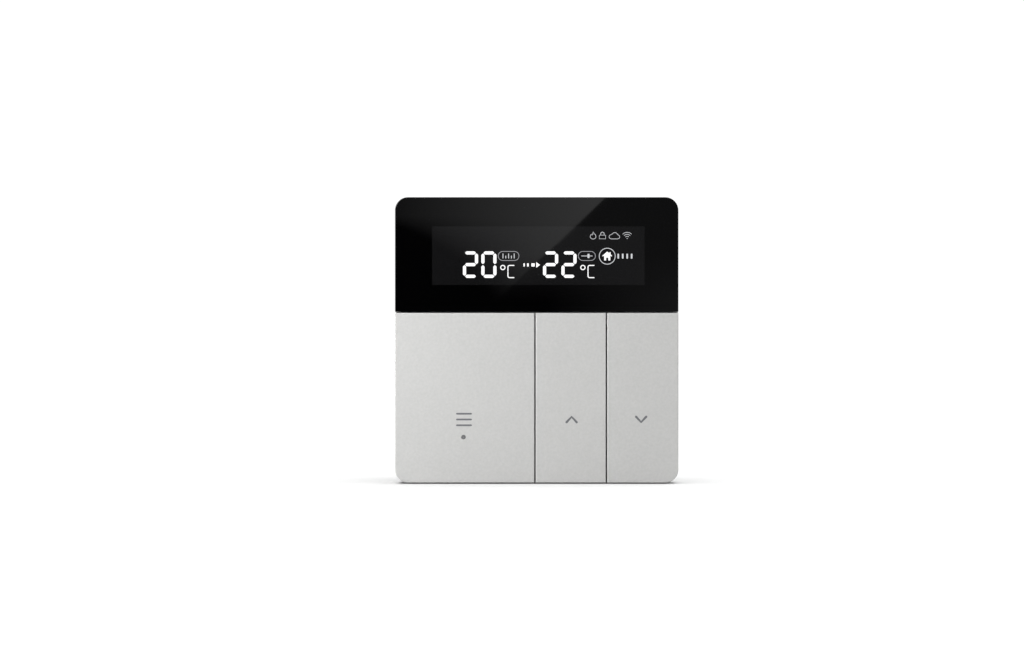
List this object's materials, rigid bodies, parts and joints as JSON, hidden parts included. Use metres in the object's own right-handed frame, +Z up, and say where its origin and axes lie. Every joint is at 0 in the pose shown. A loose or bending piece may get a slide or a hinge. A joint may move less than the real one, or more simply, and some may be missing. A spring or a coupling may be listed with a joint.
{
  "type": "wall thermostat",
  "caption": "Square wall thermostat with a gloss black display window, rocker keys, a steel wall plate and a stepped rear box with rising-cage screw terminals.",
  "frame": {"origin": "middle of the wall plate's back, in the plane of the wall's face", "axes": "+Z up, +X to the right seen from the room, +Y into the wall; the front faces -Y"},
  "size_m": [0.086, 0.0403, 0.087],
  "materials": {
    "frame_plastic": "silver paint, satin",
    "window_gloss": "polished black",
    "adhesive_film": "matt",
    "cell_glass": "polished",
    "clear_acrylic": "polished",
    "white_plastic": "fine spark texture",
    "elastomer": "matt",
    "board_green": "solder resist",
    "chip_black": "matt",
    "shield_steel": "tinned",
    "switch_black": "satin",
    "plunger_brown": "satin",
    "lamp_clear": "polished",
    "sensor_bead": "glazed",
    "connector_black": "satin",
    "screw_steel": "zinc plated",
    "key_paint": "silver paint, satin",
    "rod_steel": "ground",
    "plate_steel": "galvanised",
    "box_plastic": "fine spark texture",
    "board_tan": "bare laminate",
    "relay_blue": "moulded",
    "winding_tape": "polyester tape",
    "can_sleeve": "shrunk sleeve",
    "film_yellow": "moulded",
    "disc_blue": "dipped",
    "fuse_brown": "moulded",
    "terminal_green": "moulded",
    "clamp_steel": "yellow passivated",
    "contact_brass": "rolled"
  },
  "bodies": {
    "power_unit": {"mounting_plate": "plate_steel", "plate_screw_1": "screw_steel", "plate_screw_2": "screw_steel", "rear_box": "box_plastic", "power_board": "board_tan", "board_socket": "connector_black", "relay": "relay_blue", "transformer": "winding_tape", "bulk_capacitor": "can_sleeve", "suppression_capacitor": "film_yellow", "varistor": "disc_blue", "fuse": "fuse_brown", "terminal_block": "terminal_green", "contact_bar_1": "contact_brass", "contact_bar_2": "contact_brass", "contact_bar_3": "contact_brass", "contact_bar_4": "contact_brass", "contact_bar_5": "contact_brass", "contact_bar_6": "contact_brass"},
    "front_unit": {"front_frame": "frame_plastic", "display_window": "window_gloss", "window_adhesive": "adhesive_film", "lcd_cell": "cell_glass", "backlight_guide": "clear_acrylic", "lcd_holder": "white_plastic", "lcd_contact_strip": "elastomer", "display_board": "board_green", "controller_chip": "chip_black", "radio_module": "shield_steel", "mode_switch": "switch_black", "up_switch": "switch_black", "down_switch": "switch_black", "status_led": "lamp_clear", "room_sensor": "sensor_bead", "board_header": "connector_black", "back_cover": "white_plastic", "cover_screw_1": "screw_steel", "cover_screw_2": "screw_steel", "cover_screw_3": "screw_steel", "cover_screw_4": "screw_steel", "key_pivot_rod": "rod_steel"},
    "mode_key": {"mode_key": "key_paint", "mode_light_pipe": "lamp_clear"},
    "up_key": {"up_key": "key_paint"},
    "down_key": {"down_key": "key_paint"},
    "mode_plunger": {"mode_plunger": "plunger_brown"},
    "up_plunger": {"up_plunger": "plunger_brown"},
    "down_plunger": {"down_plunger": "plunger_brown"},
    "terminal_screw_1": {"terminal_screw_1": "screw_steel"},
    "terminal_screw_2": {"terminal_screw_2": "screw_steel"},
    "terminal_screw_3": {"terminal_screw_3": "screw_steel"},
    "terminal_screw_4": {"terminal_screw_4": "screw_steel"},
    "terminal_screw_5": {"terminal_screw_5": "screw_steel"},
    "terminal_screw_6": {"terminal_screw_6": "screw_steel"},
    "wire_clamp_1": {"wire_clamp_1": "clamp_steel"},
    "wire_clamp_2": {"wire_clamp_2": "clamp_steel"},
    "wire_clamp_3": {"wire_clamp_3": "clamp_steel"},
    "wire_clamp_4": {"wire_clamp_4": "clamp_steel"},
    "wire_clamp_5": {"wire_clamp_5": "clamp_steel"},
    "wire_clamp_6": {"wire_clamp_6": "clamp_steel"}
  },
  "joints": [
    {"name": "front_release", "type": "slide", "parent": "power_unit", "child": "front_unit", "axis": [0, -1, 0], "range_m": [0, 0.015]},
    {"name": "mode_key_press", "type": "hinge", "parent": "front_unit", "child": "mode_key", "pos_m": [-0.02184, -0.01025, 0.0055], "axis": [1, 0, 0], "range_deg": [0, 0.65], "stiffness_Nm_per_rad": 3.2},
    {"name": "up_key_press", "type": "hinge", "parent": "front_unit", "child": "up_key", "pos_m": [0.01035, -0.01025, 0.0055], "axis": [1, 0, 0], "range_deg": [0, 0.65], "stiffness_Nm_per_rad": 3.2},
    {"name": "down_key_press", "type": "hinge", "parent": "front_unit", "child": "down_key", "pos_m": [0.03219, -0.01025, 0.0055], "axis": [1, 0, 0], "range_deg": [0, 0.65], "stiffness_Nm_per_rad": 3.2},
    {"name": "mode_plunger_travel", "type": "slide", "parent": "front_unit", "child": "mode_plunger", "axis": [0, 1, 0], "range_m": [0, 0.0003]},
    {"name": "up_plunger_travel", "type": "slide", "parent": "front_unit", "child": "up_plunger", "axis": [0, 1, 0], "range_m": [0, 0.0003]},
    {"name": "down_plunger_travel", "type": "slide", "parent": "front_unit", "child": "down_plunger", "axis": [0, 1, 0], "range_m": [0, 0.0003]},
    {"name": "terminal_screw_1_turn", "type": "hinge", "parent": "power_unit", "child": "terminal_screw_1", "pos_m": [-0.019, 0.0196, -0.0176], "axis": [0, -1, 0], "range_deg": [0, 1440]},
    {"name": "terminal_screw_2_turn", "type": "hinge", "parent": "power_unit", "child": "terminal_screw_2", "pos_m": [-0.0114, 0.0196, -0.0176], "axis": [0, -1, 0], "range_deg": [0, 1440]},
    {"name": "terminal_screw_3_turn", "type": "hinge", "parent": "power_unit", "child": "terminal_screw_3", "pos_m": [-0.0038, 0.0196, -0.0176], "axis": [0, -1, 0], "range_deg": [0, 1440]},
    {"name": "terminal_screw_4_turn", "type": "hinge", "parent": "power_unit", "child": "terminal_screw_4", "pos_m": [0.0038, 0.0196, -0.0176], "axis": [0, -1, 0], "range_deg": [0, 1440]},
    {"name": "terminal_screw_5_turn", "type": "hinge", "parent": "power_unit", "child": "terminal_screw_5", "pos_m": [0.0114, 0.0196, -0.0176], "axis": [0, -1, 0], "range_deg": [0, 1440]},
    {"name": "terminal_screw_6_turn", "type": "hinge", "parent": "power_unit", "child": "terminal_screw_6", "pos_m": [0.019, 0.0196, -0.0176], "axis": [0, -1, 0], "range_deg": [0, 1440]},
    {"name": "wire_clamp_1_rise", "type": "slide", "parent": "power_unit", "child": "wire_clamp_1", "axis": [0, 1, 0], "range_m": [0, 0.002]},
    {"name": "wire_clamp_2_rise", "type": "slide", "parent": "power_unit", "child": "wire_clamp_2", "axis": [0, 1, 0], "range_m": [0, 0.002]},
    {"name": "wire_clamp_3_rise", "type": "slide", "parent": "power_unit", "child": "wire_clamp_3", "axis": [0, 1, 0], "range_m": [0, 0.002]},
    {"name": "wire_clamp_4_rise", "type": "slide", "parent": "power_unit", "child": "wire_clamp_4", "axis": [0, 1, 0], "range_m": [0, 0.002]},
    {"name": "wire_clamp_5_rise", "type": "slide", "parent": "power_unit", "child": "wire_clamp_5", "axis": [0, 1, 0], "range_m": [0, 0.002]},
    {"name": "wire_clamp_6_rise", "type": "slide", "parent": "power_unit", "child": "wire_clamp_6", "axis": [0, 1, 0], "range_m": [0, 0.002]}
  ],
  "couplings": [
    {"joint": "mode_plunger_travel", "follows": "mode_key_press", "m_per_rad": 0.0255},
    {"joint": "up_plunger_travel", "follows": "up_key_press", "m_per_rad": 0.0255},
    {"joint": "down_plunger_travel", "follows": "down_key_press", "m_per_rad": 0.0255},
    {"joint": "terminal_screw_1_turn", "follows": "wire_clamp_1_rise", "rad_per_m": 12566},
    {"joint": "terminal_screw_2_turn", "follows": "wire_clamp_2_rise", "rad_per_m": 12566},
    {"joint": "terminal_screw_3_turn", "follows": "wire_clamp_3_rise", "rad_per_m": 12566},
    {"joint": "terminal_screw_4_turn", "follows": "wire_clamp_4_rise", "rad_per_m": 12566},
    {"joint": "terminal_screw_5_turn", "follows": "wire_clamp_5_rise", "rad_per_m": 12566},
    {"joint": "terminal_screw_6_turn", "follows": "wire_clamp_6_rise", "rad_per_m": 12566}
  ]
}
